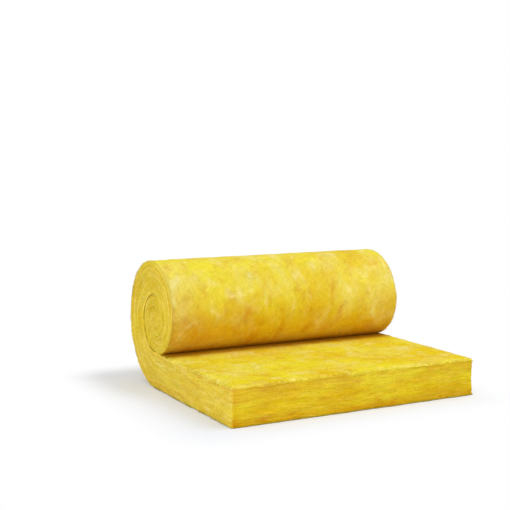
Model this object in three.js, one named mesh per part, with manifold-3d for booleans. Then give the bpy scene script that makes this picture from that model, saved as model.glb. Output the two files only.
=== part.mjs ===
// Glass wool insulation roll, partly unrolled.
//
// One mat of glass wool lies flat at the front and is still wound up at the back. Under the
// roll the mat lifts off the floor, goes once round the turns that are still tight, thinning
// as their pressure takes hold, and comes down at the front onto its own upper face. From
// there it winds inwards. The roll has no tube in it: the mat's inner end curls up on itself.
//
// Millimetres, +Z up. The origin is on the floor in the middle of the footprint. +X runs
// across the mat, along the roll's axis, and the mat's cut end faces -Y.

import * as THREE from "three";
import { mergeVertices } from "three/addons/utils/BufferGeometryUtils.js";
import Module from "manifold-3d";

// The mat.
const MAT_WIDTH = 1200;
const MAT_THICKNESS = 165; // of the lead
const LEAD_LENGTH = 775; // lying flat, from the cut end to below the roll's axis

// The roll. Places along the winding are counted in turns: 0 on the floor below the axis,
// 0.25 at the back, 0.5 on top, 0.75 at the front, and 1 below the axis again, on the lead.
const TIGHT_RADIUS = 144; // of the tight turns, at turn 1
const TIGHT_THICKNESS = 55; // of the mat in each tight turn
const LOOSE_THICKNESS = 172; // of the loose turn, where nothing presses on it
const SQUEEZE_START = 0.31; // the turn at which the loose turn is thickest and begins to thin
const EYE_RADIUS = 15; // where the mat's inner end stops winding
const NIP_GAP = 3; // height of the blunt inner end of the wedge between roll and lead

// The grooves that part the turns on both ends of the roll.
const TURN_GROOVE = { width: 7, depth: 9 };
const LOOSE_GROOVE = { width: 11, depth: 20 }; // between the loose turn and the tight ones
const LOOSE_GROOVE_END = 1.6; // the turn at which the deeper groove runs out

// Facets.
const TURN_STEPS = 72; // of the outline, in one turn
const TURN_GROOVE_STEPS = 130;
const LOOSE_GROOVE_STEPS = 40;
const NIP_STEP = 0.002; // of a turn, in the search for the nip

const WOOL = { color: 0xe3c02c, roughness: 1, metalness: 0 };

const AXIS_HEIGHT = MAT_THICKNESS + TIGHT_RADIUS;

// Radius of the mat's outer face in the tight turns.
function tightRadius(turn) {
  return TIGHT_RADIUS - TIGHT_THICKNESS * (turn - 1);
}

// Thickness of the loose turn: the lead's on the floor, fullest where the squeeze starts, and
// down to a tight turn's at 1.
function looseThickness(turn) {
  const { lerp, smoothstep } = THREE.MathUtils;
  const free = lerp(MAT_THICKNESS, LOOSE_THICKNESS, smoothstep(turn, 0, SQUEEZE_START));
  return lerp(free, TIGHT_THICKNESS, smoothstep(turn, SQUEEZE_START, 1));
}

// Radius of the mat's outer face anywhere on the winding. The loose turn lies on the next one.
function outerRadius(turn) {
  return turn < 1 ? tightRadius(turn + 1) + looseThickness(turn) : tightRadius(turn);
}

// A point of the mat's outer face, in the plane of the roll's end, measured from the axis's
// foot on the floor: x to the back, y up.
function windingPoint(turn) {
  const angle = 2 * Math.PI * turn;
  const radius = outerRadius(turn);
  return new THREE.Vector2(
    radius * Math.sin(angle),
    AXIS_HEIGHT - radius * Math.cos(angle),
  );
}

// The turn at which the roll comes within NIP_GAP of the lead's upper face.
function nipTurn() {
  let turn = 1;
  while (windingPoint(turn).y - MAT_THICKNESS < NIP_GAP) turn -= NIP_STEP;
  return turn;
}

// The mat seen from its side: the lead, then the roll from the nip round to the floor.
function sideOutline() {
  const nip = nipTurn();
  const steps = Math.ceil(nip * TURN_STEPS);
  const outline = [
    new THREE.Vector2(-LEAD_LENGTH, 0),
    new THREE.Vector2(windingPoint(0).x, 0),
  ];
  for (let i = 1; i <= steps; i++) outline.push(windingPoint((nip * i) / steps));
  outline.push(new THREE.Vector2(windingPoint(nip).x, MAT_THICKNESS));
  outline.push(new THREE.Vector2(-LEAD_LENGTH, MAT_THICKNESS));
  return outline;
}

// The line along which neighbouring turns meet, on the plane of one end.
class TurnLine extends THREE.Curve {
  constructor(startTurn, endTurn, end) {
    super();
    Object.assign(this, { startTurn, endTurn, end });
  }

  getPoint(t, target = new THREE.Vector3()) {
    const point = windingPoint(THREE.MathUtils.lerp(this.startTurn, this.endTurn, t));
    return target.set(point.x, point.y, this.end);
  }
}

// What a groove takes away: a rhombus swept along the turn line, half of it in the wool.
// The sweep lays the section's x along the roll's axis, and its y across the groove.
function grooveCutter(line, { width, depth }, steps) {
  const section = new THREE.Shape([
    new THREE.Vector2(depth, 0),
    new THREE.Vector2(0, width / 2),
    new THREE.Vector2(-depth, 0),
    new THREE.Vector2(0, -width / 2),
  ]);
  return new THREE.ExtrudeGeometry(section, { steps, extrudePath: line, bevelEnabled: false });
}

const wasm = await Module();
wasm.setup();

function solidOf(geometry) {
  const bare = geometry.clone();
  bare.deleteAttribute("normal");
  bare.deleteAttribute("uv");
  const merged = mergeVertices(bare);
  return new wasm.Manifold(
    new wasm.Mesh({
      numProp: 3,
      vertProperties: new Float32Array(merged.attributes.position.array),
      triVerts: new Uint32Array(merged.index.array),
    }),
  );
}

function geometryOf(solid) {
  const { vertProperties, triVerts } = solid.getMesh();
  const geometry = new THREE.BufferGeometry();
  geometry.setAttribute("position", new THREE.BufferAttribute(vertProperties, 3));
  geometry.setIndex(new THREE.BufferAttribute(triVerts, 1));
  return geometry;
}

// The mat as one solid, with the grooves cut into both ends of its roll. Here x runs to the
// back, y up and z across the mat.
function matGeometry() {
  const outline = new THREE.Shape(sideOutline());
  const body = new THREE.ExtrudeGeometry(outline, { depth: MAT_WIDTH, bevelEnabled: false });
  body.translate(0, 0, -MAT_WIDTH / 2);
  let mat = solidOf(body);

  const nip = nipTurn();
  const eye = 1 + (TIGHT_RADIUS - EYE_RADIUS) / TIGHT_THICKNESS;
  for (const end of [-MAT_WIDTH / 2, MAT_WIDTH / 2]) {
    const turns = new TurnLine(nip, eye, end);
    const loose = new TurnLine(nip, LOOSE_GROOVE_END, end);
    mat = mat.subtract(solidOf(grooveCutter(turns, TURN_GROOVE, TURN_GROOVE_STEPS)));
    mat = mat.subtract(solidOf(grooveCutter(loose, LOOSE_GROOVE, LOOSE_GROOVE_STEPS)));
  }
  return geometryOf(mat);
}

const mat = new THREE.Mesh(matGeometry(), new THREE.MeshStandardMaterial(WOOL));
mat.name = "glass_wool_mat";

// Turn the side view's x, y and z into the roll's Y, Z and X, and centre the footprint.
mat.rotation.set(Math.PI / 2, Math.PI / 2, 0);
mat.geometry.computeBoundingBox();
const { min, max } = mat.geometry.boundingBox;
mat.position.y = -(min.x + max.x) / 2;

const roll = new THREE.Group();
roll.add(mat);

export default roll;
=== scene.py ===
"""A glass wool insulation roll, partly unrolled, modelled the way a real mat is made.

The mat is cut as a flat block of wool and then wound up. Everything on it is placed by its
place in the flat mat, in metres: across the mat, along it from the foot of the roll's axis
(negative on the lead), and up through it from the face that lies on the floor.
"""

import math
import random
from bisect import bisect_right
from dataclasses import dataclass

import bmesh
import bpy
from bpy.props import FloatProperty, FloatVectorProperty, IntProperty, PointerProperty
from mathutils import Matrix, Vector, noise


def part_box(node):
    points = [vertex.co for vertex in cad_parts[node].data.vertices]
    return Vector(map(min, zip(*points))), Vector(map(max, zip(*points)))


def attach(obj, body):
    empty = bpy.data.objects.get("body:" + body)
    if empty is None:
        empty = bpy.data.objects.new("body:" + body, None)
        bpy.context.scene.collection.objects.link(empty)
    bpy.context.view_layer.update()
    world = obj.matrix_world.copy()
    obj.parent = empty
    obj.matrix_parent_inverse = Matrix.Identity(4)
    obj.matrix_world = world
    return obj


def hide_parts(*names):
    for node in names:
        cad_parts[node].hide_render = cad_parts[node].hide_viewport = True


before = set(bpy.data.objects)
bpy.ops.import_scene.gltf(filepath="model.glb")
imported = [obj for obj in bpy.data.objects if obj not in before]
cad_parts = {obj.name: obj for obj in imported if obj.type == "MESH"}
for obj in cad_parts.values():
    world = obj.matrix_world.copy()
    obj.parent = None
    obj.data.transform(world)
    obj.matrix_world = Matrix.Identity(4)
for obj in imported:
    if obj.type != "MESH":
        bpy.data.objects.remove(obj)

bl_info = {
    "name": "Glass Wool Roll",
    "version": (1, 0, 0),
    "blender": (4, 5, 0),
    "location": "View3D > Sidebar > Wool Roll",
    "description": "Models a partly unrolled glass wool mat and its studio",
    "category": "Add Mesh",
}

NODE = "glass_wool_mat"
BODY = "root"
PLACE = "flat_place"  # attribute: across, along and up through the flat mat, in metres
FACING = "flat_facing"  # attribute: how squarely a point faces across, along and up
TONE = "strand_tone"  # attribute: 1 on a pale strand, -1 on an amber one, 0 on the mat

ACROSS, ALONG, UP = 0, 1, 2  # the axes of the flat mat
LEFT, RIGHT = -1, 1  # the mat's cut sides, on the axis across it
WHITE = (1, 1, 1, 1)
RGBA = {"size": 4, "min": 0, "max": 1}

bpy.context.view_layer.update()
NODE_LOW, NODE_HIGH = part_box(NODE)


# ---------------------------------------------------------------- sizes and colours

class MatSettings(bpy.types.PropertyGroup):
    """The mat and the way it is wound."""

    width: FloatProperty(
        name="Width",
        description="Width of the mat, along the roll's axis",
        default=NODE_HIGH.x - NODE_LOW.x,
        unit="LENGTH",
    )
    thickness: FloatProperty(
        name="Thickness",
        description="Thickness of the lead, and of the flat block that the mat is made from",
        default=0.165,
        unit="LENGTH",
    )
    lead_length: FloatProperty(
        name="Lead length",
        description="Length that lies flat, from the cut end to below the roll's axis",
        default=0.775,
        unit="LENGTH",
    )
    tight_radius: FloatProperty(
        name="Tight radius",
        description="Radius of the tight turns, where they come down on the lead",
        default=0.144,
        unit="LENGTH",
    )
    tight_thickness: FloatProperty(
        name="Tight thickness",
        description="Thickness of the mat in each tight turn",
        default=0.055,
        unit="LENGTH",
    )
    loose_thickness: FloatProperty(
        name="Loose thickness",
        description="Thickness of the loose turn where nothing presses on it",
        default=0.172,
        unit="LENGTH",
    )
    squeeze_start: FloatProperty(
        name="Squeeze start",
        description="The turn at which the loose turn is thickest and begins to thin",
        default=0.31,
    )
    eye_radius: FloatProperty(
        name="Eye radius",
        description="Radius of the pinched hole in the middle of the roll",
        default=0.002,
        unit="LENGTH",
    )
    edge_radius: FloatProperty(
        name="Edge radius",
        description="Rounding of the mat's cut edges",
        default=0.005,
        unit="LENGTH",
    )
    turn_gap: FloatProperty(
        name="Turn gap",
        description="How far the faces of neighbouring turns draw back at the roll's ends",
        default=0.0030,
        unit="LENGTH",
    )
    recess: FloatProperty(
        name="Recess",
        description="How far the tight turns stand back from the loose turn at the ends",
        default=0.002,
        unit="LENGTH",
    )


class StrandSettings(bpy.types.PropertyGroup):
    """How many strands of fibre lie on the mat."""

    end_layers: IntProperty(
        name="End layers",
        description="Strands in the layers of the lead's cut end",
        default=1700,
    )
    side_layers: IntProperty(
        name="Side layers",
        description="Strands in the layers of each cut side",
        default=2600,
    )
    roll_hairs: IntProperty(
        name="Roll hairs",
        description="Loose hairs on the roll",
        default=1800,
    )
    lead_hairs: IntProperty(
        name="Lead hairs",
        description="Loose hairs on the upper face of the lead",
        default=1300,
    )
    end_frays: IntProperty(
        name="End frays",
        description="Frayed bundles over the upper edge of the cut end",
        default=450,
    )
    side_frays: IntProperty(
        name="Side frays",
        description="Frayed bundles along the edges of each cut side",
        default=700,
    )


class WoolSettings(bpy.types.PropertyGroup):
    """The colours of the wool."""

    golden: FloatVectorProperty(
        name="Golden wool",
        description="Colour of most of the wool",
        subtype="COLOR",
        default=(0.84, 0.57, 0.012, 1),
        **RGBA,
    )
    # Also the colour of painted light on the roll's top and ridge and on the lead's crest.
    bright: FloatVectorProperty(
        name="Bright wool",
        description="Colour of the lightest yellow clouds",
        subtype="COLOR",
        default=(0.89, 0.75, 0.030, 1),
        **RGBA,
    )
    # Also the colour of painted light on the roll's top and the crest, and of painted sheen on the
    # cut sides.
    pale: FloatVectorProperty(
        name="Pale wool",
        description="Colour of the thinly bonded patches",
        subtype="COLOR",
        default=(0.93, 0.79, 0.27, 1),
        **RGBA,
    )
    # Also the colour of painted shade low on the roll, in the nip's wedge, at the lead's foot and
    # corner, under its crest and between the turns.
    amber: FloatVectorProperty(
        name="Amber wool",
        description="Colour of the patches with the most binder",
        subtype="COLOR",
        default=(0.69, 0.32, 0.004, 1),
        **RGBA,
    )


class StageSettings(bpy.types.PropertyGroup):
    """The camera, the lamps and the floor."""

    azimuth: FloatProperty(
        name="Azimuth",
        description="Direction of the camera round the roll, 0 facing the cut end",
        default=math.radians(-28.23),
        subtype="ANGLE",
    )
    elevation: FloatProperty(
        name="Elevation",
        description="Height of the camera above the horizon, seen from its target",
        default=math.radians(5.94),
        subtype="ANGLE",
    )
    roll: FloatProperty(
        name="Tilt",
        description="Turn of the camera about its own line of sight",
        default=math.radians(0.18),
        subtype="ANGLE",
    )
    distance: FloatProperty(
        name="Distance",
        description="Distance of the camera from its target",
        default=4.762,
        unit="LENGTH",
    )
    target: FloatVectorProperty(
        name="Target",
        description="The point in the middle of the camera's frame",
        subtype="TRANSLATION",
        size=3,
        default=(-0.1240, 0.1629, 0.5950),
    )
    focal_px: FloatProperty(
        name="Focal length",
        description="Focal length of the lens in pixels of the square frame",
        default=1018.95,
    )
    key_watts: FloatProperty(
        name="Key lamp",
        description="Power of the lamp overhead",
        default=46,
        unit="POWER",
    )
    fill_watts: FloatProperty(
        name="Fill lamp",
        description="Power of the lamp beside the camera",
        default=64,
        unit="POWER",
    )
    world_strength: FloatProperty(
        name="World",
        description="Strength of the light from all round",
        default=0.64,
    )
    floor_colour: FloatVectorProperty(
        name="Floor",
        description="Colour of the floor",
        subtype="COLOR",
        default=(0.885, 0.912, 0.975, 1),
        **RGBA,
    )
    floor_bounce: FloatVectorProperty(
        name="Floor bounce",
        description="Colour of the light that the floor throws back on the roll",
        subtype="COLOR",
        default=(0.80, 0.80, 0.80, 1),
        **RGBA,
    )
    fade_start: FloatProperty(
        name="Fade start",
        description="Distance from the roll at which the floor starts to turn white",
        default=0.02,
        unit="LENGTH",
    )
    fade_end: FloatProperty(
        name="Fade end",
        description="Distance from the roll at which the floor is white",
        default=0.27,
        unit="LENGTH",
    )
    fade_shift: FloatProperty(
        name="Fade shift",
        description="How far the fade lies to the right of the roll, less than 0 to the left",
        default=-0.08,
        unit="LENGTH",
    )
    floor_whiteness: FloatProperty(
        name="Floor whiteness",
        description="How much of the floor near the roll is as white as the background",
        default=0.2,
    )


# ---------------------------------------------------------------- the winding

def ramp(value, low, high):
    """Rises smoothly from 0 at low to 1 at high; low may be the larger."""
    share = min(max((value - low) / (high - low), 0), 1)
    return share * share * (3 - 2 * share)


class Winding:
    """The way from a place in the flat mat to its place on the roll.

    Places round the roll are counted in turns: 0 on the floor below the axis, 0.25 at the
    back, 0.5 on top, 0.75 at the front, and 1 below the axis again, on the lead.
    """

    STEP = 1 / 720  # of a turn, from one worked out length to the next
    END_RADIUS = 3  # of the mat's inner end from the axis, in eye radii

    def __init__(self, mat):
        self.mat = mat
        self.axis_y = NODE_LOW.y + mat.lead_length
        self.axis_z = mat.thickness + mat.tight_radius
        wound_depth = mat.tight_radius - self.END_RADIUS * mat.eye_radius
        last_turn = 1 + wound_depth / mat.tight_thickness
        self.turns = [0.0]
        self.lengths = [0.0]
        while self.turns[-1] < last_turn:
            turn = self.turns[-1] + self.STEP
            step = self.middle_radius(turn) * math.tau * self.STEP
            self.turns.append(turn)
            self.lengths.append(self.lengths[-1] + step)
        self.length = self.lengths[-1]

    def tight_radius(self, turn):
        return self.mat.tight_radius - self.mat.tight_thickness * (turn - 1)

    def thickness(self, turn):
        mat = self.mat
        if turn >= 1:
            return min(mat.tight_thickness, self.tight_radius(turn) - mat.eye_radius)
        sprung = ramp(turn, 0, mat.squeeze_start)
        free = mat.thickness + (mat.loose_thickness - mat.thickness) * sprung
        return free + (mat.tight_thickness - free) * ramp(turn, mat.squeeze_start, 1)

    def outer_radius(self, turn):
        if turn >= 1:
            return self.tight_radius(turn)
        return self.tight_radius(turn + 1) + self.thickness(turn)

    def middle_radius(self, turn):
        return self.outer_radius(turn) - self.thickness(turn) / 2

    def turn(self, along):
        """The turn at a length along the mat; 0 anywhere on the lead."""
        if along <= 0:
            return 0.0
        after = min(bisect_right(self.lengths, along), len(self.lengths) - 1)
        low, high = self.lengths[after - 1], self.lengths[after]
        share = min((along - low) / (high - low), 1)
        return self.turns[after - 1] + share * self.STEP

    def length_at(self, turn):
        """The length along the mat at a turn."""
        return self.lengths[min(round(turn / self.STEP), len(self.lengths) - 1)]

    def directions(self, along):
        """Across, along and up in the flat mat, as they lie after winding."""
        angle = math.tau * self.turn(along)
        return Matrix(
            (
                (1, 0, 0),
                (0, math.cos(angle), -math.sin(angle)),
                (0, math.sin(angle), math.cos(angle)),
            )
        )

    def place(self, across, along, up, offset=Vector()):
        """The wound place of a flat one, then moved by an offset in the flat directions."""
        turned = self.directions(along)
        if along < 0:
            return Vector((across, self.axis_y + along, up)) + turned @ offset
        turn = self.turn(along)
        radius = self.outer_radius(turn) - up / self.mat.thickness * self.thickness(turn)
        axis = Vector((across, self.axis_y, self.axis_z))
        return axis + turned @ (offset - Vector((0, 0, radius)))


# ---------------------------------------------------------------- the surface of the wool

@dataclass
class Swell:
    """Smooth ups and downs of a face of the wool."""

    height: float
    size: float
    layers: int = 1  # how many times finer it is through the mat
    shift: int = 0  # keeps it clear of the other swells

    def at(self, place):
        across, along, up = place
        scaled = Vector((across, along, up * self.layers)) / self.size
        return self.height * noise.noise(scaled + Vector((self.shift, 0, 0)))


def swollen(place, mean, swells):
    """The height at a place, from a mean height and the swells over it."""
    return sum((swell.at(place) for swell in swells), mean)


class Surface:
    """How far the wool of each face stands off the plain flat block."""

    BROAD_MEAN = 0.0015
    BROAD_SWELLS = (
        Swell(0.0020, 0.24),
        Swell(0.0012, 0.08, shift=7),
        Swell(0.0009, 0.028, shift=3),
    )
    CUT_MEAN = 0.0012
    LOOSE_SWELLS = (
        Swell(0.0036, 0.22, layers=2, shift=5),
        Swell(0.0024, 0.11, layers=4, shift=2),
        Swell(0.0014, 0.04, layers=3, shift=9),
    )
    TIGHT_SWELLS = (
        Swell(0.0024, 0.16, shift=5),
        Swell(0.0016, 0.06, shift=2),
        Swell(0.0012, 0.024, shift=9),
    )

    SKIN = 0.012  # thickness of the denser wool along both broad faces
    SKIN_CORE = 0.4  # share of the skin that is wholly dense
    RAGGEDNESS = 0.0035  # of the skins at the cut faces
    RAGS_MEAN = 0.5
    RAGS = (Swell(1, 0.06, shift=6), Swell(0.7, 0.022, shift=1))
    LEAD_SOLE_RAGS = 0.4  # share of the raggedness that the lead's lower skin has
    ROLL_SOLE_RAGS = 0.2  # and the roll's outer one
    FLARE = 0.0074  # how far the lead's lower skin stands out at its cut faces
    TUCK = 0.0022  # how far the roll's outer skin is drawn in there
    LEAD_TO_ROLL = (-0.05, 0.2)  # lengths over which the one gives way to the other

    DROOP = 0.007  # of the lead's upper face at its cut edges
    FRONT_DROOP_WIDTH = 0.045
    SIDE_DROOP_WIDTH = 0.025
    LEAST_SIDE_DROOP = 0.7  # share of the droop that every point of a side edge has
    DROOP_MEAN = 0.45
    DROOP_SWELLS = (Swell(0.9, 0.10, shift=4), Swell(0.45, 0.028, shift=8))

    HEEL = 0.002  # of the lead's lower edges, which its weight squares off
    HEEL_STARTS = (0.05, -0.05)  # lengths over which it does
    BULGE = 0.005  # of the roll's underside, where its weight spreads it over the lead
    BULGE_GROWS = (0.84, 0.94)  # the turns over which it does
    BULGE_ENDS = (0.97, 1.0)
    CLEARANCE = 0.0003  # of the wool from what it rests on

    TIGHTENING = (0.85, 1.0)  # the turns over which the loose turn becomes a tight one
    FREE_OF_NIP = (-0.05, -0.12)  # lengths along the lead between which the roll lets it go
    FREE_OF_FLOOR = (0.02, 0.14)  # and between which the mat leaves the floor
    FREE_HEIGHT = 0.04  # above the lead, at which the roll's underside is free
    BROAD_ENOUGH = 0.01  # least share of a normal that counts as facing up or down

    GAP_DEPTH = 0.030  # how deep the gap between two turns reaches in from their ends
    GAP_AT_FLOOR = 0.25  # width of the gap by the floor, as a share of the turn gap
    GAP_CHANGES = (  # changes of that share, and the stretches of a turn that they take
        (0.85, 0.05, 0.15),
        (-0.75, 0.22, 0.33),
        (-0.35, 0.34, 0.45),
    )
    GAP_STARTS = (-0.06, 0.02)  # lengths over which the gap over the lead opens
    PRESSED = (0.46, 0.56)  # turns over which inner faces are pressed on, outer ones a turn on
    RECESS_ENDS = (1.42, 1.55)  # turns over which the tight turns come out flush again
    RECESS_SWELL = Swell(1, 0.11)

    def __init__(self, winding):
        self.winding = winding
        self.mat = winding.mat

    def freedom(self, place, normal):
        """1 where nothing lies on a broad face, 0 where the floor or a turn presses on it."""
        along = place[ALONG]
        if normal.z > 0:
            return ramp(along, *self.FREE_OF_NIP)
        turn = self.winding.turn(along)
        if turn < 0.5:
            return ramp(along, *self.FREE_OF_FLOOR)
        height = self.winding.place(0, along, 0).z - self.mat.thickness
        return ramp(height, 0, self.FREE_HEIGHT) if turn < 1 else 0

    def cut_relief(self, place, tight):
        """Of a cut face, by place in the flat mat, but round the axis in the tight turns."""
        loose = self.loose_relief(place) if tight < 1 else 0
        if tight == 0:
            return loose
        flush = swollen(self.winding.place(*place), self.CUT_MEAN, self.TIGHT_SWELLS)
        return loose * (1 - tight) + flush * tight

    def loose_relief(self, place):
        """Of a cut face of the lead or of the loose turn, ragged along both its skins."""
        _, along, up = place
        top = self.mat.thickness
        on_roll = ramp(along, *self.LEAD_TO_ROLL)
        sole = ramp(up, self.SKIN, self.SKIN * self.SKIN_CORE)
        crest = ramp(up, top - self.SKIN, top - self.SKIN * self.SKIN_CORE)
        rags = max(swollen(place, self.RAGS_MEAN, self.RAGS), 0)
        sole_rags = self.LEAD_SOLE_RAGS + (self.ROLL_SOLE_RAGS - self.LEAD_SOLE_RAGS) * on_roll
        relief = swollen(place, self.CUT_MEAN, self.LOOSE_SWELLS)
        relief += self.RAGGEDNESS * (sole * sole_rags + crest) * rags
        return relief + sole * (self.FLARE - (self.FLARE + self.TUCK) * on_roll)

    def inset(self, across):
        """The distance from the nearer cut side."""
        return self.mat.width / 2 - abs(across)

    def droop(self, place):
        """How far the lead's upper face sags at its cut edges, where the wool is frayed."""
        across, along, up = place
        front = max(1 - (along + self.mat.lead_length) / self.FRONT_DROOP_WIDTH, 0) ** 2
        side = max(1 - self.inset(across) / self.SIDE_DROOP_WIDTH, 0) ** 2
        side *= ramp(along, 0, -0.15)
        frayed = max(swollen((across, along, 0), self.DROOP_MEAN, self.DROOP_SWELLS), 0)
        sag = max(frayed * min(front + side, 1), front * side, self.LEAST_SIDE_DROOP * side)
        return self.DROOP * sag * up / self.mat.thickness

    def bulge(self, place):
        """How far the roll bulges down beside its line of contact with the lead."""
        turn = self.winding.turn(place[ALONG])
        share = ramp(turn, *self.BULGE_GROWS) * (1 - ramp(turn, *self.BULGE_ENDS))
        return self.BULGE * share * (1 - place[UP] / self.mat.thickness)

    def wound(self, place, offset):
        """The place on the roll, kept off the floor, or off the lead where it lies on that."""
        laid = self.winding.place(*place, offset)
        over_lead = self.winding.turn(place[ALONG]) > 0.75
        rests_on = self.mat.thickness if over_lead else 0
        laid.z = max(laid.z, rests_on + self.CLEARANCE)
        return laid

    def slackness(self, share):
        """How wide the gap between two turns is, by the share of a turn from the floor."""
        changes = (change * ramp(share, start, end) for change, start, end in self.GAP_CHANGES)
        return sum(changes, self.GAP_AT_FLOOR)

    def offset(self, place, normal):
        """Across, along and up, in the flat mat's own directions."""
        along = place[ALONG]
        turn = self.winding.turn(along)
        tight = ramp(turn, *self.TIGHTENING)
        broad = abs(normal.z)
        relief = self.cut_relief(place, tight) * (1 - broad)
        if broad > self.BROAD_ENOUGH:
            free = self.freedom(place, normal)
            relief += swollen(place, self.BROAD_MEAN, self.BROAD_SWELLS) * broad * free
        lower_edge = max(-normal.z, 0) * math.hypot(normal.x, normal.y) * 2
        moved = normal * (relief + self.HEEL * lower_edge * ramp(along, *self.HEEL_STARTS))
        moved.z -= self.droop(place) if along < 0 else self.bulge(place)
        self.draw_back(moved, place, normal, turn, tight)
        return moved

    def draw_back(self, moved, place, normal, turn, tight):
        """Opens the gaps between the turns at the roll's ends and recesses the tight ones."""
        across, along, up = place
        inset = self.inset(across)
        nearness = max(1 - inset / self.GAP_DEPTH, 0) ** 2
        side = math.copysign(1, across)
        inner = (tight - ramp(turn, *self.RECESS_ENDS)) * (1 - up / self.mat.thickness)
        recess = self.mat.recess * inner * (1 + self.RECESS_SWELL.at((side, along, 0)))
        moved.x -= side * recess * nearness
        if up > self.mat.thickness / 2:
            gap, pressed = ramp(along, *self.GAP_STARTS), ramp(turn, *self.PRESSED)
        else:
            gap, pressed = tight, ramp(turn - 1, *self.PRESSED)
        gap *= (1 - pressed) * self.slackness(turn % 1)
        if abs(normal.z) > self.BROAD_ENOUGH:
            moved.z -= normal.z * self.mat.turn_gap * gap * nearness
        if inset < self.mat.edge_radius:  # a pressed edge is a sharp one
            moved.x += side * inset * pressed


# ---------------------------------------------------------------- meshes

def cut_through(bm, axis, place):
    """Cuts a whole bmesh square to one of its axes."""
    normal = Vector((0, 0, 0))
    normal[axis] = 1
    bmesh.ops.bisect_plane(
        bm,
        geom=bm.verts[:] + bm.edges[:] + bm.faces[:],
        dist=1e-7,
        plane_co=normal * place,
        plane_no=normal,
    )


def facing_of(normal):
    """How squarely a normal faces across, along and up, either way."""
    return [abs(part) for part in normal]


def new_object(name, bm):
    """Makes an object of a bmesh, with its place in its mesh, and frees the bmesh."""
    mesh = bpy.data.meshes.new(name)
    bm.to_mesh(mesh)
    bm.free()
    made = bpy.data.objects.new(name, mesh)
    bpy.context.scene.collection.objects.link(made)
    return made


class MatBlock:
    """The flat block of wool, cut into faces fine enough for its relief, then wound up."""

    ROW_ON_LEAD = 0.0065
    ROW_ON_LOOSE_TURN = 0.0075  # measured on its outer face
    ROW_ON_TIGHT_TURNS = 0.010
    ROW_ROUND_EYE = 0.2  # of the radius
    LAYER_HEIGHT = 0.0062
    BAND_CUTS = (0.009, 0.014, 0.020, 0.030, 0.050)  # from the cut edges
    COLUMN_WIDTH = 0.0070
    LEVEL = 0.9  # least part of a normal along Z on a face that counts as flat
    COVERED = (-0.04, 0.01)  # lengths between which the nip or the floor hides the broad faces
    LAST_SEEN_TURN = 0.985

    def __init__(self, winding):
        self.winding = winding
        self.mat = winding.mat
        self.bm = bmesh.new()

    def make_block(self):
        mat = self.mat
        size = Vector((mat.width, mat.lead_length + self.winding.length, mat.thickness))
        centre = Vector((0, size.y / 2 - mat.lead_length, size.z / 2))
        bmesh.ops.create_cube(self.bm, size=1)
        bmesh.ops.scale(self.bm, vec=size, verts=self.bm.verts)
        bmesh.ops.translate(self.bm, vec=centre, verts=self.bm.verts)
        bmesh.ops.bevel(
            self.bm,
            geom=self.bm.edges[:],
            offset=mat.edge_radius,
            affect="EDGES",
            segments=2,
            profile=0.5,
            material=-1,
        )
        self.fix_order()

    def fix_order(self):
        """Reads the block in anew, as a bevel leaves it in an order that varies by run."""
        mesh = bpy.data.meshes.new("block")
        self.bm.to_mesh(mesh)
        self.bm.clear()
        self.bm.from_mesh(mesh)
        bpy.data.meshes.remove(mesh)

    def row_step(self, along):
        if along < 0:
            return self.ROW_ON_LEAD
        turn = self.winding.turn(along)
        middle = self.winding.middle_radius(turn)
        if turn < 1:
            return self.ROW_ON_LOOSE_TURN * middle / self.winding.outer_radius(turn)
        return min(self.ROW_ON_TIGHT_TURNS, self.ROW_ROUND_EYE * middle)

    def cut_rows(self):
        along = self.mat.edge_radius - self.mat.lead_length
        end = self.winding.length - self.mat.edge_radius
        while along + self.row_step(along) < end:
            along += self.row_step(along)
            cut_through(self.bm, ALONG, along)

    def cut_layers(self):
        inner = self.mat.thickness - 2 * self.mat.edge_radius
        count = round(inner / self.LAYER_HEIGHT)
        for i in range(1, count):
            cut_through(self.bm, UP, self.mat.edge_radius + inner * i / count)

    def cut_bands(self):
        for inset in self.BAND_CUTS:
            cut_through(self.bm, ACROSS, self.mat.width / 2 - inset)
            cut_through(self.bm, ACROSS, inset - self.mat.width / 2)

    def shows(self, face):
        """True on the broad faces that nothing covers, and on the cut end of the lead."""
        along = face.calc_center_median().y
        if along < self.mat.edge_radius - self.mat.lead_length:
            return True
        if face.normal.z > self.LEVEL:
            return along < self.COVERED[0]
        if face.normal.z > -self.LEVEL:
            return False
        return along > self.COVERED[1] and self.winding.turn(along) < self.LAST_SEEN_TURN

    def cut_columns(self):
        """Narrow columns on the faces that show, between the bands at the cut edges."""
        middle = self.mat.width / 2 - self.BAND_CUTS[-1]
        self.bm.normal_update()
        spanning = (edge for edge in self.bm.edges if self.spans(edge, middle))
        bmesh.ops.subdivide_edges(
            self.bm,
            edges=[edge for edge in spanning if any(map(self.shows, edge.link_faces))],
            cuts=round(2 * middle / self.COLUMN_WIDTH),
            use_grid_fill=True,
        )

    @staticmethod
    def spans(edge, middle):
        """True if the edge goes right across, from one innermost band to the other."""
        ends = sorted(vert.co.x for vert in edge.verts)
        return abs(ends[0] + middle) < 1e-5 and abs(ends[1] - middle) < 1e-5

    def wind(self, surface):
        """Keeps each point's flat place, gives it its relief and winds it up."""
        self.bm.normal_update()
        kept = self.bm.verts.layers.float_vector.new(PLACE)
        facing = self.bm.verts.layers.float_vector.new(FACING)
        for vert in self.bm.verts:
            place = vert.co.copy()
            vert[kept] = place
            vert[facing] = facing_of(vert.normal)
            vert.co = surface.wound(place, surface.offset(place, vert.normal))

    def to_object(self, name):
        for face in self.bm.faces:
            face.smooth = True
        return new_object(name, self.bm)


# ---------------------------------------------------------------- strands of fibre

@dataclass
class StrandKind:
    """The least and the greatest of each measure of one kind of strand."""

    length: tuple
    radius: tuple
    bend: tuple  # sideways at the tip, as a share of the length
    lift: tuple  # off the face at the tip, as a share of the length
    tone: tuple
    wave: tuple = ()  # sideways to and fro on the way there, in metres


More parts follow.
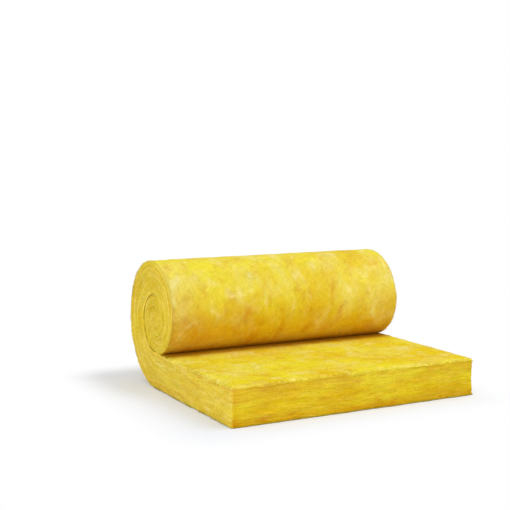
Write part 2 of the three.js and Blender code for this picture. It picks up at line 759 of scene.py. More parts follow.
LAYER = StrandKind(
    length=(0.03, 0.11),
    radius=(0.0007, 0.0016),
    bend=(-0.03, 0.03),
    lift=(-0.004, 0.006),
    tone=(-0.7, 1.3),
    wave=(0, 0.003),
)
HAIR = StrandKind(
    length=(0.015, 0.065),
    radius=(0.0003, 0.0007),
    bend=(-0.35, 0.35),
    lift=(-0.02, 0.08),
    tone=(-0.49, 0.91),
)
FRAY = StrandKind(
    length=(0.008, 0.034),
    radius=(0.0003, 0.0008),
    bend=(-0.3, 0.3),
    lift=(0, 0.30),
    tone=(-0.3, 1.2),
)


@dataclass
class Strand:
    """A bundle of fibres laid on a face of the flat mat, from its root along its heading."""

    root: Vector
    normal: Vector
    heading: Vector
    length: float
    radius: float
    bend: float
    wave: float
    lift: float
    tone: float

    ROOT_WIDTH, ROOT_GROWTH = 0.35, 3  # share of the full width, and how fast it widens
    TIP_WIDTH, TIP_GROWTH = 0.25, 1.5
    FLATNESS = 0.5  # height of the strand, as a share of its width
    SUNK = 0.1  # share of its radius by which it lies in the face
    LIFT_POWER = 1.6  # it lifts more and more towards the tip

    def __post_init__(self):
        self.normal = self.normal.normalized()
        self.side = self.normal.cross(self.heading).normalized()
        self.heading = self.side.cross(self.normal)

    def middle(self, share):
        """The place on the face under a share of its length."""
        sideways = self.bend * self.length * share * share
        sideways += self.wave * math.sin(math.tau * (share + self.tone))
        return self.root + self.heading * self.length * share + self.side * sideways

    def offset(self, share, ring):
        """From there to a point of the strand's skin; ring goes round a circle of size 1."""
        near_root = self.ROOT_WIDTH + self.ROOT_GROWTH * share
        near_tip = self.TIP_WIDTH + self.TIP_GROWTH * (1 - share)
        plump = self.radius * min(near_root, 1, near_tip)
        height = self.lift * self.length * share ** self.LIFT_POWER - self.SUNK * self.radius
        raised = ring.y * plump * self.FLATNESS + height
        return self.side * ring.x * plump + self.normal * raised


class StrandSheet:
    """Many strands, joined into one mesh that lies on the mat."""

    SIDES = 3
    SEGMENTS = 5
    LAYER_TILT = 0.05  # of a layer's strands, up or down
    WOUND_SHARE = 0.98  # share of the wound length whose cut sides have strands
    HAIR_LEAN = (0.3, 0.6)  # mean heading of the hairs, across and along
    HAIRY_TURN = (0.10, 0.92)  # where the hairs on the roll lie, in shares of its first turn
    HAIRY_LEAD_END = -0.12  # how far along the lead they go
    FRAYED_TURN = (0.04, 0.97)
    FRAYED_LEAD_END = -0.02
    FRAY_DEPTH = 0.020  # from the cut edge
    FRAY_SPREAD = 0.35  # of their headings

    def __init__(self, surface, seed):
        self.surface = surface
        self.winding = surface.winding
        self.mat = surface.mat
        self.chance = random.Random(seed)
        self.strands = []

    def add(self, kind, root, normal, heading):
        """Adds a strand, turned back where its tip would reach past the mat's edge."""
        draw = self.chance.uniform
        measures = {
            "root": Vector(root),
            "normal": Vector(normal),
            "heading": heading,
            "length": draw(*kind.length),
            "radius": draw(*kind.radius),
            "bend": draw(*kind.bend),
            "wave": draw(*kind.wave) if kind.wave else 0,
            "lift": draw(*kind.lift),
            "tone": draw(*kind.tone),
        }
        strand = Strand(**measures)
        tip = strand.middle(1)
        if (tip - self.within(tip)).length > 1e-4:
            measures["heading"] = -heading
            strand = Strand(**measures)
        self.strands.append(strand)

    def within(self, place):
        """The nearest place that is still on the flat mat."""
        mat = self.mat
        across, along, up = place
        across = min(max(across, -mat.width / 2), mat.width / 2)
        along = max(along, -mat.lead_length)
        return Vector((across, along, min(max(up, 0), mat.thickness)))

    def straight_tube(self):
        """A closed tube along Z, from 0 to 1."""
        bm = bmesh.new()
        bmesh.ops.create_cone(
            bm, cap_ends=True, segments=self.SIDES, radius1=1, radius2=1, depth=1
        )
        bmesh.ops.translate(bm, vec=(0, 0, 0.5), verts=bm.verts)
        for i in range(1, self.SEGMENTS):
            cut_through(bm, UP, i / self.SEGMENTS)
        mesh = bpy.data.meshes.new("tube")
        bm.to_mesh(mesh)
        bm.free()
        return mesh

    def to_object(self, name):
        """Bends a copy of the tube along each strand, which keeps its faces outwards."""
        tube = self.straight_tube()
        bm = bmesh.new()
        for _ in self.strands:
            bm.from_mesh(tube)
        points = len(tube.vertices)
        bpy.data.meshes.remove(tube)
        kept = bm.verts.layers.float_vector.new(PLACE)
        facing = bm.verts.layers.float_vector.new(FACING)
        tone = bm.verts.layers.float.new(TONE)
        for i, vert in enumerate(bm.verts):
            strand = self.strands[i // points]
            share = vert.co.z
            place = self.within(strand.middle(share))
            vert[kept] = place
            vert[facing] = facing_of(strand.normal)
            vert[tone] = strand.tone
            offset = self.surface.offset(place, strand.normal) + strand.offset(share, vert.co)
            vert.co = self.surface.wound(place, offset)
        return new_object(name, bm)

    def across(self):
        return self.chance.uniform(-0.5, 0.5) * self.mat.width

    def up(self):
        return self.chance.uniform(0.01, 0.99) * self.mat.thickness

    def along_to(self, end):
        return self.chance.uniform(-self.mat.lead_length, end)

    def along_turn(self, shares):
        return self.chance.uniform(*shares) * self.winding.length_at(1)

    def either_way(self, heading):
        return Vector(heading) * self.chance.choice((-1, 1))

    def lay_layer(self, root, normal, heading):
        """A long strand in one of the layers that show on a cut face."""
        tilt = Vector((0, 0, self.chance.gauss(0, self.LAYER_TILT)))
        self.add(LAYER, root, normal, self.either_way(heading) + tilt)

    def lay_layers_on_end(self, count):
        for _ in range(count):
            root = (self.across(), -self.mat.lead_length, self.up())
            self.lay_layer(root, (0, -1, 0), (1, 0, 0))

    def lay_layers_on_side(self, side, count):
        """Thinner stretches of the mat get fewer."""
        while len(self.strands) < count:
            along = self.along_to(self.winding.length * self.WOUND_SHARE)
            thickness = self.winding.thickness(self.winding.turn(along))
            if self.chance.random() * self.mat.thickness < thickness:
                root = (side * self.mat.width / 2, along, self.up())
                self.lay_layer(root, (side, 0, 0), (0, 1, 0))

    def lay_hair(self, root, normal):
        """A loose hair on a broad face."""
        across, along = [self.chance.gauss(mean, 1) for mean in self.HAIR_LEAN]
        self.add(HAIR, root, normal, Vector((across, along, 0)))

    def lay_hairs_on_lead(self, count):
        for _ in range(count):
            along = self.along_to(self.HAIRY_LEAD_END)
            self.lay_hair((self.across(), along, self.mat.thickness), (0, 0, 1))

    def lay_hairs_on_roll(self, count):
        for _ in range(count):
            along = self.along_turn(self.HAIRY_TURN)
            self.lay_hair((self.across(), along, 0), (0, 0, -1))

    def lay_fray(self, root, normal, heading):
        """A short bundle that sticks out of an edge."""
        stray = Vector([self.chance.gauss(0, self.FRAY_SPREAD) for _ in range(3)])
        self.add(FRAY, root, normal, self.either_way(heading) + stray)

    def fray_end(self, count):
        """Along the lead's cut end, mostly over its upper edge."""
        for _ in range(count):
            slope = self.chance.uniform(0, 1)
            inset = self.chance.uniform(0, self.FRAY_DEPTH) * (1 - slope)
            root = (self.across(), inset - self.mat.lead_length, self.mat.thickness)
            self.lay_fray(root, (0, -slope, 1), (1, 0, 0))

    def fray_sides(self, side, count):
        """Along the edges between a cut side and the broad faces that show."""
        for _ in range(count):
            slope = self.chance.uniform(0, 1)
            outer = self.chance.random() < 0.5
            if outer:
                along = self.along_turn(self.FRAYED_TURN)
            else:
                along = self.along_to(self.FRAYED_LEAD_END)
            inset = self.chance.uniform(0, self.FRAY_DEPTH) * (1 - slope)
            across = side * (self.mat.width / 2 - inset)
            root = (across, along, 0 if outer else self.mat.thickness)
            self.lay_fray(root, (side * slope, 0, -1 if outer else 1), (0, 1, 0))


# ---------------------------------------------------------------- nodes

class Wire:
    """A node's output, on which the usual arithmetic adds Math nodes."""

    def __init__(self, shader, socket):
        self.shader = shader
        self.socket = socket

    def math(self, operation, *values, clamp=False):
        settings = {"operation": operation, "use_clamp": clamp}
        return self.shader.node("ShaderNodeMath", settings, values)

    def __add__(self, other):
        return self.math("ADD", self, other)

    def __sub__(self, other):
        return self.math("SUBTRACT", self, other)

    def __rsub__(self, other):
        return self.math("SUBTRACT", other, self)

    def __mul__(self, other):
        return self.math("MULTIPLY", self, other)

    def __abs__(self):
        return self.math("ABSOLUTE", self)

    __radd__ = __add__
    __rmul__ = __mul__

    def larger(self, other):
        return self.math("MAXIMUM", self, other)

    def clamped(self):
        return self.math("ADD", self, 0, clamp=True)

    def spread(self, low, high, least, most, curve="LINEAR"):
        """Goes from least at low to most at high, and no further."""
        settings = {"interpolation_type": curve, "clamp": True}
        return self.shader.node("ShaderNodeMapRange", settings, (self, low, high, least, most))

    def ramped(self, low, high):
        """Rises smoothly from 0 at low to 1 at high."""
        return self.spread(low, high, 0, 1, "SMOOTHSTEP")


class Shader:
    """The nodes of a material or of a world."""

    def __init__(self, owner):
        self.owner = owner
        owner.use_nodes = True
        self.tree = owner.node_tree
        self.tree.nodes.clear()

    def node(self, kind, settings=(), inputs=(), output=0):
        """Adds a node: its settings first, then its sockets, by order or by name."""
        added = self.tree.nodes.new(kind)
        for key, value in dict(settings).items():
            setattr(added, key, value)
        named = inputs.items() if isinstance(inputs, dict) else enumerate(inputs)
        for key, value in named:
            if isinstance(value, Wire):
                self.tree.links.new(value.socket, added.inputs[key])
            else:
                added.inputs[key].default_value = value
        return Wire(self, added.outputs[output]) if len(added.outputs) else None

    def attribute(self, name, output):
        return self.node("ShaderNodeAttribute", {"attribute_name": name}, (), output)

    def object_place(self):
        return self.node("ShaderNodeTexCoord", (), (), "Object")

    def parts(self, vector):
        """A vector's three parts."""
        return [self.node("ShaderNodeSeparateXYZ", (), (vector,), axis) for axis in "XYZ"]

    def vector_math(self, operation, *values, output="Vector"):
        return self.node("ShaderNodeVectorMath", {"operation": operation}, values, output)

    def warped(self, vector, size, reach):
        """The vector, carried off its place by noise with swirls of a given size."""
        swirl = self.noise(vector, size, detail=1.0, roughness=0.5, output="Color")
        swirl = self.vector_math("SUBTRACT", swirl, (0.5, 0.5, 0.5))
        return self.vector_math("MULTIPLY_ADD", swirl, reach, vector)

    def noise(self, vector, size, detail=2.0, roughness=0.6, output="Fac"):
        """Noise with grains of a given size, in the units of the vector."""
        inputs = {
            "Vector": vector,
            "Scale": 1 / size,
            "Detail": detail,
            "Roughness": roughness,
        }
        return self.node("ShaderNodeTexNoise", {"noise_dimensions": "3D"}, inputs, output)

    def mixed(self, factor, first, second, blend="MIX"):
        """Mixes two colours; the sockets of a Mix node are known by their order."""
        settings = {"data_type": "RGBA", "blend_type": blend}
        return self.node("ShaderNodeMix", settings, {0: factor, 6: first, 7: second}, 2)

    def seen(self):
        """1 for what the camera sees, straight or in a mirror or through glass, else 0."""
        rays = ("Is Camera Ray", "Is Glossy Ray", "Is Transmission Ray")
        return sum(self.node("ShaderNodeLightPath", (), (), ray) for ray in rays).clamped()

    def finish(self, kind, surface):
        """Ends the tree in an output node of its kind."""
        self.node(kind, (), {"Surface": surface})
        return self.owner


# ---------------------------------------------------------------- materials

class WoolPattern:
    """The clouds, smears, layers and fibres of the wool, and the light and shade painted on parts
    of it, by place in the flat mat.

    Patterns and masks are numbers, mostly from 0 to 1, at each point of the wool. Sums of
    them are written by name, each with its weight, as in self.total(low=0.74, belly=0.06).
    """

    HALF_BLEND = 0.0025  # half of the height over which one half of the mat becomes the other

    def __init__(self, shader, winding):
        self.shader = shader
        self.winding = winding
        self.place = shader.attribute(PLACE, "Vector")
        self.tone = shader.attribute(TONE, "Fac")
        self.across, self.along, self.up = shader.parts(self.place)
        self.side, self.front, self.broad = shader.parts(shader.attribute(FACING, "Vector"))
        self.cut = 1 - self.broad
        self.from_left = self.across + winding.mat.width / 2
        self.make_noise()
        self.mark_roll()
        self.mark_nip()
        self.mark_lead()
        self.mark_lead_edges()
        self.mark_roll_ends()

    def total(self, **weights):
        """The sum of patterns and masks, each times its weight."""
        return sum(getattr(self, name) * weight for name, weight in weights.items())

    def changed(self, **weights):
        """1, raised or lowered by patterns and masks, each times its weight."""
        return 1 + self.total(**weights)

    def left_by(self, **weights):
        """What is left of 1 when masks have taken their shares of it, one after another."""
        left = 1
        for name, weight in weights.items():
            left = (1 - getattr(self, name) * weight) * left
        return left

    def turned(self, low, high):
        """Rises smoothly from 0 at one turn of the winding to 1 at another."""
        return self.along.ramped(self.winding.length_at(low), self.winding.length_at(high))

    def between(self, rise, fall):
        """Rises smoothly over one stretch of turns and falls again over a later one."""
        return self.turned(*rise) - self.turned(*fall)

    def topped(self, low, high):
        """Rises smoothly from one depth under the upper face to a lesser one."""
        thickness = self.winding.mat.thickness
        return self.up.ramped(thickness - low, thickness - high)

    def upper_half(self):
        half = self.winding.mat.thickness / 2
        return self.up.ramped(half - self.HALF_BLEND, half + self.HALF_BLEND)

    def grains(self, sizes, turn=0.0, shift=0, detail=2.0, roughness=0.6):
        """Noise with grains of given sizes across, along and through the mat."""
        inputs = {
            "Vector": self.warped,
            "Location": (shift, 0, 0),
            "Rotation": (0, 0, turn),
            "Scale": sizes,
        }
        laid = self.shader.node("ShaderNodeMapping", {"vector_type": "TEXTURE"}, inputs)
        return self.shader.noise(laid, 1.0, detail, roughness)

    def make_noise(self):
        """The patterns that run all over the wool, from the largest to the finest."""
        shader, grains = self.shader, self.grains
        warped = shader.warped(self.place, 0.25, (0.07, 0.07, 0.02))
        self.warped = shader.warped(warped, 0.06, (0.028, 0.028, 0.005))
        self.clouds = grains((0.24, 0.20, 0.06), turn=0.4, shift=1, roughness=0.5)
        self.mists = grains((0.16, 0.13, 0.04), turn=-0.3, shift=8, detail=4.0)
        smears = {"turn": -0.8, "shift": 3, "detail": 4.0, "roughness": 0.65}
        self.smears = grains((0.11, 0.085, 0.030), **smears)
        self.creams = grains((0.058, 0.075, 0.020), turn=0.25, shift=2, roughness=0.5)
        self.plies = grains((0.12, 0.12, 0.016), shift=10)
        layers = grains((0.09, 0.09, 0.0052), shift=4)
        films = grains((0.04, 0.04, 0.0028), shift=9)
        self.lamina = layers * 0.4 + films * 0.6
        leaning = grains((0.040, 0.0050, 0.003), turn=0.9, shift=5)
        crossing = grains((0.040, 0.0050, 0.003), turn=-0.5, shift=6)
        self.fibres = leaning.larger(crossing)
        self.mottle = shader.noise(self.warped, 0.020)
        self.specks = shader.noise(self.warped, 0.007)
        pith = shader.noise(shader.object_place(), 0.012, detail=3.0, roughness=0.7)
        self.pith = pith.ramped(0.34, 0.66)

    def mark_roll(self):
        """The outer face of the roll.

        Its lower front, painted amber and darker as the shade under the roll; its top, painted
        lighter and paler where the light falls, with a painted highlight along the highest line;
        pale rubbed wool by both ends under that, a stained spot low on the left, the darker waist
        between top and bottom, and dust in drifts and at the left end.
        """
        from_left, broad = self.from_left, self.broad
        # Painted shade: the roll's lower front, where shade falls under it, is mixed towards
        # amber.
        self.low = self.turned(0.58, 0.90) * (1 - from_left.ramped(0.6, 1.1) * 0.12) * broad
        # Painted light: the roll's top, where the light falls, is made lighter and paler.
        self.high = self.between((0.30, 0.45), (0.55, 0.78)) * broad
        # Painted highlight along the highest line, strongest at the left end, turning to slight
        # painted shade at the right end.
        ridge = self.between((0.38, 0.48), (0.55, 0.62))
        self.ridge = ridge * (1.6 - from_left.ramped(0.1, 1.1) * 2.0) * broad
        ends = 1 - from_left.ramped(0.10, 0.40) + from_left.ramped(0.65, 0.95)
        self.rubbed = ends * self.between((0.57, 0.62), (0.67, 0.77)) * broad
        low_left = self.between((0.69, 0.74), (0.81, 0.88))
        self.low_left = (1 - from_left.ramped(0.05, 0.50)) * low_left * broad
        waist = self.between((0.54, 0.58), (0.74, 0.79))
        self.waist = (1 - from_left.ramped(0.75, 0.95)) * waist * broad
        drifts = self.grains((0.13, 0.10, 0.04), turn=0.5, shift=11, detail=3.0)
        left_end = 1 - from_left.ramped(0.03, 0.17)
        dust = drifts.ramped(0.50, 0.68) + left_end * self.turned(0.50, 0.72)
        self.dust = dust.clamped() * broad

    def mark_nip(self):
        """The lead's upper face and the roll's underside, where they close on each other.

        The wedge of the lead in the roll's shadow, with painted shadow on it, the belly of the
        roll over it, painted a little lighter, and the line where the two meet, painted lighter.
        """
        upper = self.upper_half() * (1 - self.turned(0.0, 0.02)) * self.broad
        under = (1 - self.turned(0.98, 1.0)) * self.broad
        # Painted shadow of the roll on the lead, mixed towards amber.
        self.wedge = self.along.ramped(-0.20, -0.11) * upper
        # The roll's underside over the wedge: painted a little lighter, and kept free of pale
        # wool.
        self.belly = self.turned(0.84, 0.92) * under
        # Painted light along the line where the two meet, easing the shade there.
        self.nip = self.along.ramped(-0.070, -0.045) * upper + self.turned(0.91, 0.94) * under

    def mark_lead(self):
        """The lead's upper face, and the foot and near corner of its cut faces, painted amber as
        shade.
        """
        from_left = self.from_left
        self.lead = (1 - self.along.ramped(-0.15, 0.05)) * self.broad
        # Painted shade near the floor: the front darkens towards its foot, the sides in a band
        # just above theirs.
        front_foot = self.front * (1 - self.up.ramped(0.0, 0.058))
        side_foot = self.up.ramped(0.006, 0.016) - self.up.ramped(0.018, 0.045)
        side_foot = side_foot * self.side * (1 - self.turned(0, 0.2))
        self.foot = front_foot + side_foot * 0.30
        # Painted shade: the front darkens towards its corner with the left side.
        corner = 1 - from_left.ramped(0.005, 0.045) * 0.75 - from_left.ramped(0.05, 0.40) * 0.25
        self.corner = corner * self.front

    def mark_lead_edges(self):
        """The edges of the lead's cut faces.

        The sole that lies on the floor, with a painted contact shadow; the torn crest along the
        upper edges, paler frayed wool with a painted highlight; the hem under it, painted amber
        as the crest's shadow; and the lip, painted lighter where it catches the light on the way
        up the back.
        """
        mat = self.winding.mat
        half = mat.width / 2
        on_lead = 1 - self.along.ramped(-0.05, 0.05)
        # Painted contact shadow along the foot, where the wool meets the floor.
        self.sole = (1 - self.up.ramped(0.0030, 0.0085)) * on_lead
        by_side = abs(self.across).ramped(half - 0.020, half - 0.008)
        by_end = 1 - (self.along + mat.lead_length).ramped(0.008, 0.020)
        above = self.topped(0.0070, 0.0045)
        # The crest: partly paler frayed wool, partly a painted highlight, broken up where the edge
        # is torn.
        torn = 0.15 + self.mottle.ramped(0.42, 0.60) * 0.85
        torn = torn * (0.35 + self.clouds.ramped(0.42, 0.58) * 0.65)
        self.crest = by_side.larger(by_end) * above * on_lead * torn
        # Painted shadow under the crest, mixed towards amber.
        self.hem = self.cut * self.topped(0.024, 0.014) * (1 - above) * on_lead
        # Painted light where the lip catches the light.
        lip = self.cut * self.topped(0.020, 0.008)
        self.lip = lip * self.along.ramped(-0.5, 0.1) * (1 - self.turned(0.42, 0.55))

    def mark_roll_ends(self):
        """The cut ends of the roll.

        The coiled wool, finer where the loose turn folds over; the faces that press on each other
        inside, painted amber and darker as the shade between the turns; the seam where those come
        out at the ends, painted darker as the shade in the crease; and the roll's front rim,
        painted a little darker as shade.
        """
        folded_over = self.between((0.28, 0.42), (0.58, 0.72))
        self.coiled = self.side * self.turned(0.08, 0.25) * (1 - folded_over * 0.6)
        inner_face = self.upper_half() * self.between((0.0, 0.02), (0.38, 0.50))
        outer_face = (1 - self.upper_half()) * self.between((1.0, 1.02), (1.38, 1.50))
        # Painted shade in the gaps between the turns: these faces are mixed towards amber and
        # darkened.
        self.pressed = (inner_face + outer_face) * self.broad.ramped(0.2, 0.6)
        # Painted shade in the crease where the turns come out at the ends.
        inner_edge = self.topped(0.007, 0.002) * self.between((0, 0.03), (0.28, 0.48))
        outer_edge = 1 - self.up.ramped(0.006, 0.018)
        outer_edge = outer_edge * self.between((1.0, 1.03), (1.28, 1.48))
        self.seam = inner_edge + outer_edge
        # Painted shade: a slight darkening along the rim of the roll's ends.
        rim = self.side * (1 - self.up.ramped(0.003, 0.010))
        self.rim = rim * self.between((0.46, 0.52), (0.76, 0.84))

    def binder_and_shade(self):
        """How far the wool turns amber: stains where the resin that bonds it gathers, and painted
        shade in the nip's wedge, low on the roll, at the lead's foot and corner, in the hem and
        between the turns.
        """
        stain_and_shade = self.smears.ramped(0.46, 0.76) * self.changed(lead=-0.55, low=-0.4, high=-0.15)
        # The amber low on the roll is painted shade.
        stain_and_shade = stain_and_shade + self.total(low=0.74, low_left=0.28, waist=0.03, lead=0.04)
        # Painted shadow in the nip's wedge, and a little on the belly over it.
        stain_and_shade = stain_and_shade + self.total(wedge=1.3, belly=0.06)
        stain_and_shade = stain_and_shade * self.changed(front=-0.4, side=-0.65)
        stain_and_shade = stain_and_shade + self.pith.ramped(0.50, 1.00) * self.side * 0.18
        # Painted shadow under the crest, broken up by the mists and smears.
        hem_shade = self.mists.ramped(0.35, 0.60) * 0.15
        hem_shade = hem_shade + self.side * self.smears.ramped(0.45, 0.58) * 0.35
        stain_and_shade = stain_and_shade + self.hem * hem_shade
        # The cut faces are stained a little; the foot, the corner and the pressed faces take
        # painted shade, and the crest's painted highlight takes less amber.
        stain_and_shade = stain_and_shade + self.total(cut=0.12, foot=0.60, corner=0.45, pressed=1.0, crest=-0.6)
        # The painted contact shadow and the painted light at the nip take less amber.
        return (stain_and_shade * self.left_by(sole=1.0, nip=0.4) * 0.85).clamped()

    def cream_and_light(self):
        """How much of the wool lies loose and pale over the rest, with painted light as well:
        paler on the roll's top, on the crest's painted highlight and, as painted sheen, on the cut
        sides.
        """
        pale = self.creams.ramped(0.46, 0.90) * 0.8 + self.creams.ramped(0.60, 0.74) * 0.36
        pale = pale + self.mists.ramped(0.42, 0.75) * 0.50
        pale = pale * self.left_by(high=0.15, low=0.85, cut=0.6, lead=0.20, front=0.8)
        # Painted light: paler on the cut sides as painted sheen, on the roll's top and on the
        # crest; dust and rubbed wool are paler of themselves.
        pale = pale + self.total(side=0.20, high=0.12, dust=0.10, crest=0.30, rubbed=0.10)
        pale = pale + self.front * self.up.ramped(0.07, 0.14) * 0.06
        # No pale wool in the painted shade at the foot and in the nip.
        pale = pale * self.left_by(foot=0.6, wedge=1.0, belly=1.0)
        pale = pale + (self.plies.ramped(0.50, 0.70) - 1.2) * self.coiled * 0.12
        return (pale + self.tone.clamped() * 0.22).clamped()

    def streaks(self):
        """Fibres on the broad faces and layers on the cut ones, lighter and darker than 0.5."""
        grain = self.total(fibres=0.55, specks=0.15, mottle=0.30)
        layered = self.lamina * (0.85 - self.total(side=0.35, coiled=0.25))
        layered = layered + self.pith * (0.08 + self.total(side=0.07, coiled=0.05))
        layered = layered + self.plies * self.total(side=0.35, coiled=0.25)
        streaks = grain * self.broad + layered * self.cut
        contrast = self.changed(lead=0.35, cut=0.34, coiled=0.51, dust=0.40)
        contrast = contrast + self.side * (1 - self.coiled) * 0.28
        return 0.5 + (streaks - 0.5) * contrast

    def shade(self):
        """How light the wool is: its fibres and layers, with painted light and shade on parts of
        it, and less blue in it where it is darker.
        """
        shade = self.streaks().spread(0.30, 0.70, 0.78, 1.07)
        # The painted shade in the crease at the roll's ends has less blue still.
        blue = shade * shade * self.left_by(seam=0.55)
        # Painted light by which way a face looks: the lead's cut end much lighter, its cut sides a
        # little, the roll's ends not at all.
        shade = shade * self.changed(cut=0.12, side=-0.09, coiled=-0.04)
        # Painted highlights on the crest and the lip, and the amber painted shade low on the roll
        # lit up again a little.
        shade = shade * self.changed(crest=0.08, lip=0.14, low=0.115)
        # A slight painted highlight on the ridge, slight painted shade at its right end; the
        # lead's front and the roll's waist a little darker.
        shade = shade * self.changed(ridge=0.02, front=-0.01, waist=-0.035)
        # Painted shadow in the nip's wedge, painted light on the belly over it and along the line
        # where they meet.
        shade = shade * self.changed(wedge=-0.28, belly=0.06, nip=0.56)
        # Painted shade between the turns, along the rim and in the crease at the roll's ends, and
        # painted contact shadow at the sole; dust is a little darker of itself.
        shade = shade * self.left_by(pressed=0.35, rim=0.06, seam=0.18, sole=0.50, dust=0.05)
        tint = (shade, shade, shade * blue)
        return self.shader.node("ShaderNodeCombineColor", {"mode": "RGB"}, tint)

    def colour(self, colours):
        mixed = self.shader.mixed
        bright = self.clouds.ramped(0.35, 0.68) * self.changed(side=-0.5, lead=-0.2)
        # The sides and the lead are brighter yellow; the roll's top and ridge and the lead's crest
        # are made brighter as painted light.
        bright = bright + self.total(side=0.25, lead=0.3, high=0.35, ridge=0.35, crest=1.0)
        colour = mixed(bright.clamped(), colours.golden, colours.bright)
        colour = mixed(self.binder_and_shade(), colour, colours.amber)
        colour = mixed(self.cream_and_light(), colour, colours.pale)
        colour = mixed((self.tone * -0.4).clamped(), colour, colours.amber)
        return mixed(1.0, colour, self.shade(), "MULTIPLY")

    def normal(self):
        height = self.total(smears=0.2, fibres=0.40, specks=0.08)
        height = height + self.lamina * self.cut * 0.6
        inputs = {"Strength": 0.6, "Distance": 0.006, "Height": height}
        return self.shader.node("ShaderNodeBump", (), inputs)


def wool_material(name, colours, winding, bumpy=False):
    """Layered glass wool: cloudy and streaked on its broad faces, layered on its cut ones."""
    shader = Shader(bpy.data.materials.new(name))
    pattern = WoolPattern(shader, winding)
    inputs = {
        "Base Color": pattern.colour(colours),
        "Roughness": 0.95,
        "Specular IOR Level": 0.0,
        "Sheen Weight": 0.05,
        "Sheen Roughness": 0.5,
        "Sheen Tint": (1.0, 0.85, 0.15, 1),
    }
    if bumpy:
        inputs["Normal"] = pattern.normal()
    wool = shader.node("ShaderNodeBsdfPrincipled", (), inputs)
    return shader.finish("ShaderNodeOutputMaterial", wool)


def floor_material(stage):
    """A pale floor that keeps the shadow and fades into the white background."""
    shader = Shader(bpy.data.materials.new("floor"))
    seen = shader.seen()
    colour = shader.mixed(seen, stage.floor_bounce, stage.floor_colour)
    paper = shader.node("ShaderNodeBsdfDiffuse", (), {"Color": colour})
    light = shader.node("ShaderNodeEmission", (), {"Color": WHITE, "Strength": 1.0})
    middle = (NODE_LOW + NODE_HIGH) / 2 + Vector((stage.fade_shift, 0, 0))
    outside = shader.vector_math("SUBTRACT", shader.object_place(), middle)
    outside = shader.vector_math("ABSOLUTE", outside)
    outside = shader.vector_math("SUBTRACT", outside, (NODE_HIGH - NODE_LOW) / 2)
    outside = shader.vector_math("MAXIMUM", outside, (0, 0, 0))
    far = shader.vector_math("LENGTH", outside, output="Value")
    far = far.ramped(stage.fade_start, stage.fade_end)
    whiteness = far * (1 - stage.floor_whiteness) + stage.floor_whiteness
    surface = shader.node("ShaderNodeMixShader", (), (seen * whiteness, paper, light))
    return shader.finish("ShaderNodeOutputMaterial", surface)


def studio_world(stage):
    """Plain light from all round, in front of a background that the camera sees as white."""
    shader = Shader(bpy.data.worlds.new("studio"))
    inputs = {"Color": WHITE, "Strength": stage.world_strength}
    plain = shader.node("ShaderNodeBackground", (), inputs)
    white = shader.node("ShaderNodeBackground", (), {"Color": WHITE, "Strength": 1.0})
    surface = shader.node("ShaderNodeMixShader", (), (shader.seen(), plain, white))
    return shader.finish("ShaderNodeOutputWorld", surface)


# ---------------------------------------------------------------- operators

def place_on_frame(piece, material):
    """Gives a piece of the mat its wool and lets it ride with the mat."""
    piece.data.materials.append(material)
    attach(piece, BODY)


def surface_and_wool(scene, name):
    """The surface that strands are laid on, and a new material for them."""
    winding = Winding(scene.wool_mat)
    return Surface(winding), wool_material(name, scene.wool_colours, winding)


class WOOL_OT_mat(bpy.types.Operator):
    """Make the mat of wool, flat at the front and wound up at the back"""

    bl_idname = "wool.mat"
    bl_label = "Mat"

    def execute(self, context):
        winding = Winding(context.scene.wool_mat)
        block = MatBlock(winding)
        block.make_block()
        block.cut_rows()
        block.cut_layers()
        block.cut_bands()
        block.cut_columns()
        block.wind(Surface(winding))
        mat = block.to_object("wool_mat")
        colours = context.scene.wool_colours
        place_on_frame(mat, wool_material("glass_wool", colours, winding, bumpy=True))
        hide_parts(NODE)
        return {"FINISHED"}


class WOOL_OT_layers(bpy.types.Operator):
    """Lay the strands of the layers that show on the mat's cut faces"""

    bl_idname = "wool.layers"
    bl_label = "Layers"

    def execute(self, context):
        counts = context.scene.wool_strands
        surface, material = surface_and_wool(context.scene, "layer_wool")
        front = StrandSheet(surface, seed=1)
        front.lay_layers_on_end(counts.end_layers)
        place_on_frame(front.to_object("front_layers"), material)
        for seed, side, name in ((2, LEFT, "left_layers"), (3, RIGHT, "right_layers")):
            sheet = StrandSheet(surface, seed)
            sheet.lay_layers_on_side(side, counts.side_layers)
            place_on_frame(sheet.to_object(name), material)
        return {"FINISHED"}


class WOOL_OT_loose(bpy.types.Operator):
    """Lay the loose hairs on the mat's broad faces and the frayed bundles at its edges"""

    bl_idname = "wool.loose"
    bl_label = "Loose fibres"

    def execute(self, context):
        counts = context.scene.wool_strands
        surface, material = surface_and_wool(context.scene, "loose_wool")
        hairs = StrandSheet(surface, seed=4)
        hairs.lay_hairs_on_roll(counts.roll_hairs)
        hairs.lay_hairs_on_lead(counts.lead_hairs)
        place_on_frame(hairs.to_object("loose_hairs"), material)
        edges = StrandSheet(surface, seed=5)
        edges.fray_end(counts.end_frays)
        for side in (LEFT, RIGHT):
            edges.fray_sides(side, counts.side_frays)
        place_on_frame(edges.to_object("frayed_edges"), material)
        return {"FINISHED"}


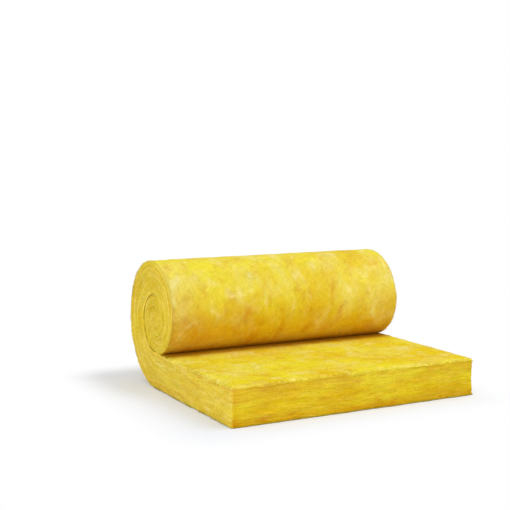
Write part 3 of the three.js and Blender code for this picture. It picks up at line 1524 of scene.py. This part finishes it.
class WOOL_OT_stage(bpy.types.Operator):
    """Lay the floor, hang the lamps and set up the camera"""

    bl_idname = "wool.stage"
    bl_label = "Stage"

    FLOOR_SIZE = 60.0
    KEY_PLACE, KEY_SIZE = (1.5, -1.1, 3.2), 2.6
    FILL_PLACE, FILL_SIZE = (-3.8, -2.4, 1.8), 2.4
    SENSOR = 36.0
    FRAME_PX = 510

    def execute(self, context):
        scene = context.scene
        stage = scene.wool_stage
        self.lay_floor(stage)
        self.hang_lamp("key", stage.key_watts, self.KEY_PLACE, self.KEY_SIZE)
        self.hang_lamp("fill", stage.fill_watts, self.FILL_PLACE, self.FILL_SIZE)
        scene.world = studio_world(stage)
        self.set_camera(scene, stage)
        scene.view_settings.view_transform = "Standard"
        return {"FINISHED"}

    def lay_floor(self, stage):
        bm = bmesh.new()
        bmesh.ops.create_grid(bm, x_segments=1, y_segments=1, size=self.FLOOR_SIZE / 2)
        floor = new_object("floor", bm)
        floor.data.materials.append(floor_material(stage))

    def hang_lamp(self, name, watts, place, size):
        """A square lamp that points at the middle of the roll."""
        lamp = bpy.data.lights.new(name, "AREA")
        lamp.energy = watts
        lamp.size = size
        hung = bpy.data.objects.new(name, lamp)
        hung.location = place
        middle = Vector((0, 0, NODE_HIGH.z / 2))
        hung.rotation_euler = (middle - hung.location).to_track_quat("-Z", "Y").to_euler()
        bpy.context.scene.collection.objects.link(hung)

    def set_camera(self, scene, stage):
        data = bpy.data.cameras.new("camera")
        data.sensor_width = self.SENSOR
        data.lens = self.SENSOR * stage.focal_px / self.FRAME_PX
        data.clip_end = self.FLOOR_SIZE
        camera = bpy.data.objects.new("camera", data)
        level = math.cos(stage.elevation)
        sideways = math.sin(stage.azimuth) * level
        forwards = math.cos(stage.azimuth) * level
        back = Vector((sideways, -forwards, math.sin(stage.elevation)))
        camera.location = Vector(stage.target) + back * stage.distance
        turned = (-back).to_track_quat("-Z", "Y").to_matrix()
        camera.rotation_euler = (turned @ Matrix.Rotation(stage.roll, 3, "Z")).to_euler()
        scene.collection.objects.link(camera)
        scene.camera = camera


class WOOL_PT_panel(bpy.types.Panel):
    """The sizes, the colours and the buttons that make the roll"""

    bl_label = "Glass Wool Roll"
    bl_idname = "WOOL_PT_panel"
    bl_space_type = "VIEW_3D"
    bl_region_type = "UI"
    bl_category = "Wool Roll"

    def draw(self, context):
        layout = self.layout
        scene = context.scene
        for settings in (scene.wool_mat, scene.wool_strands, scene.wool_colours, scene.wool_stage):
            box = layout.box()
            for name in settings.bl_rna.properties.keys():
                if name not in ("rna_type", "name"):
                    box.prop(settings, name)
        for operator in OPERATORS:
            layout.operator(operator.bl_idname)


OPERATORS = (WOOL_OT_mat, WOOL_OT_layers, WOOL_OT_loose, WOOL_OT_stage)
CLASSES = (MatSettings, StrandSettings, WoolSettings, StageSettings, *OPERATORS, WOOL_PT_panel)


def register():
    for cls in CLASSES:
        bpy.utils.register_class(cls)
    bpy.types.Scene.wool_mat = PointerProperty(type=MatSettings)
    bpy.types.Scene.wool_strands = PointerProperty(type=StrandSettings)
    bpy.types.Scene.wool_colours = PointerProperty(type=WoolSettings)
    bpy.types.Scene.wool_stage = PointerProperty(type=StageSettings)


def unregister():
    del bpy.types.Scene.wool_stage
    del bpy.types.Scene.wool_colours
    del bpy.types.Scene.wool_strands
    del bpy.types.Scene.wool_mat
    for cls in reversed(CLASSES):
        bpy.utils.unregister_class(cls)


def main():
    register()
    bpy.ops.wool.mat()
    bpy.ops.wool.layers()
    bpy.ops.wool.loose()
    bpy.ops.wool.stage()


if __name__ == "__main__":
    main()
